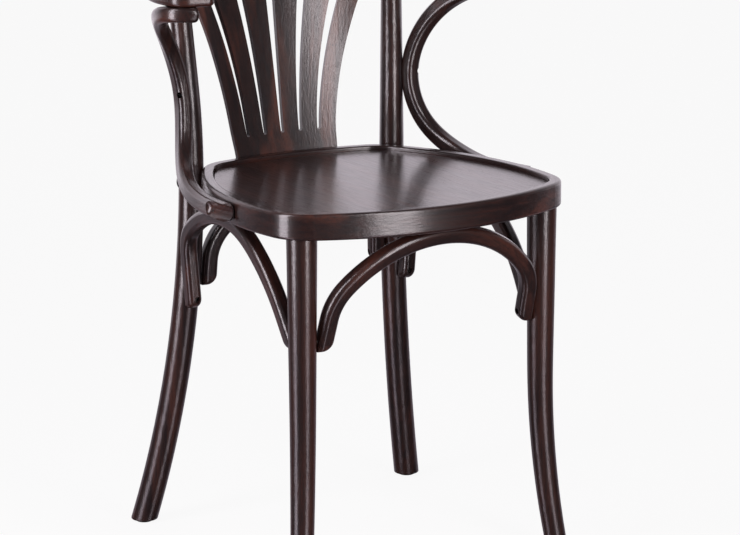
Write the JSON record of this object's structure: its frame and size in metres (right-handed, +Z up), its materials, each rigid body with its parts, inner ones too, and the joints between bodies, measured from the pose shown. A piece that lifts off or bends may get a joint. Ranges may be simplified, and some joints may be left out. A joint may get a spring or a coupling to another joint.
{
  "type": "chair",
  "caption": "Bentwood fan-back armchair: round legs, seat rim with ply panel, bent arches, curled arm supports, horseshoe arm bow and slotted fan back",
  "frame": {"origin": "on the floor, under the middle of the chair's overall width and depth", "axes": "+X to the right as seen from the front, -Y the way the sitter faces, +Z up; left and right in names are as seen from the front"},
  "size_m": [0.4694, 0.4491, 0.77],
  "materials": {
    "stained_beech": "dark walnut stain under satin lacquer on steam-bent beech",
    "stained_ply": "dark walnut stain under gloss lacquer on beech ply",
    "raw_beech": "raw turned beech",
    "dark_steel": "burnished steel",
    "black_nylon": "matte moulded nylon"
  },
  "bodies": {
    "root": {"seat_rim": "stained_beech", "seat_panel": "stained_ply", "front_leg_left": "stained_beech", "front_leg_right": "stained_beech", "rear_leg_left": "stained_beech", "rear_leg_right": "stained_beech", "front_arch": "stained_beech", "rear_arch": "stained_beech", "left_arch": "stained_beech", "right_arch": "stained_beech", "arm_bow": "stained_beech", "crest_rail": "stained_beech", "fan_back": "stained_ply", "arm_support_left": "stained_beech", "arm_support_right": "stained_beech", "crest_dowels": "raw_beech", "front_leg_pins": "raw_beech", "arch_leg_screws": "dark_steel", "arch_rim_screws": "dark_steel", "fan_rim_screws": "dark_steel", "support_rim_screws": "dark_steel", "support_post_screws": "dark_steel", "support_arm_screws": "dark_steel", "rear_leg_bolts": "dark_steel", "rear_leg_washers": "dark_steel", "rear_leg_nuts": "dark_steel", "glide_nails": "dark_steel", "floor_glides": "black_nylon"}
  },
  "joints": []
}
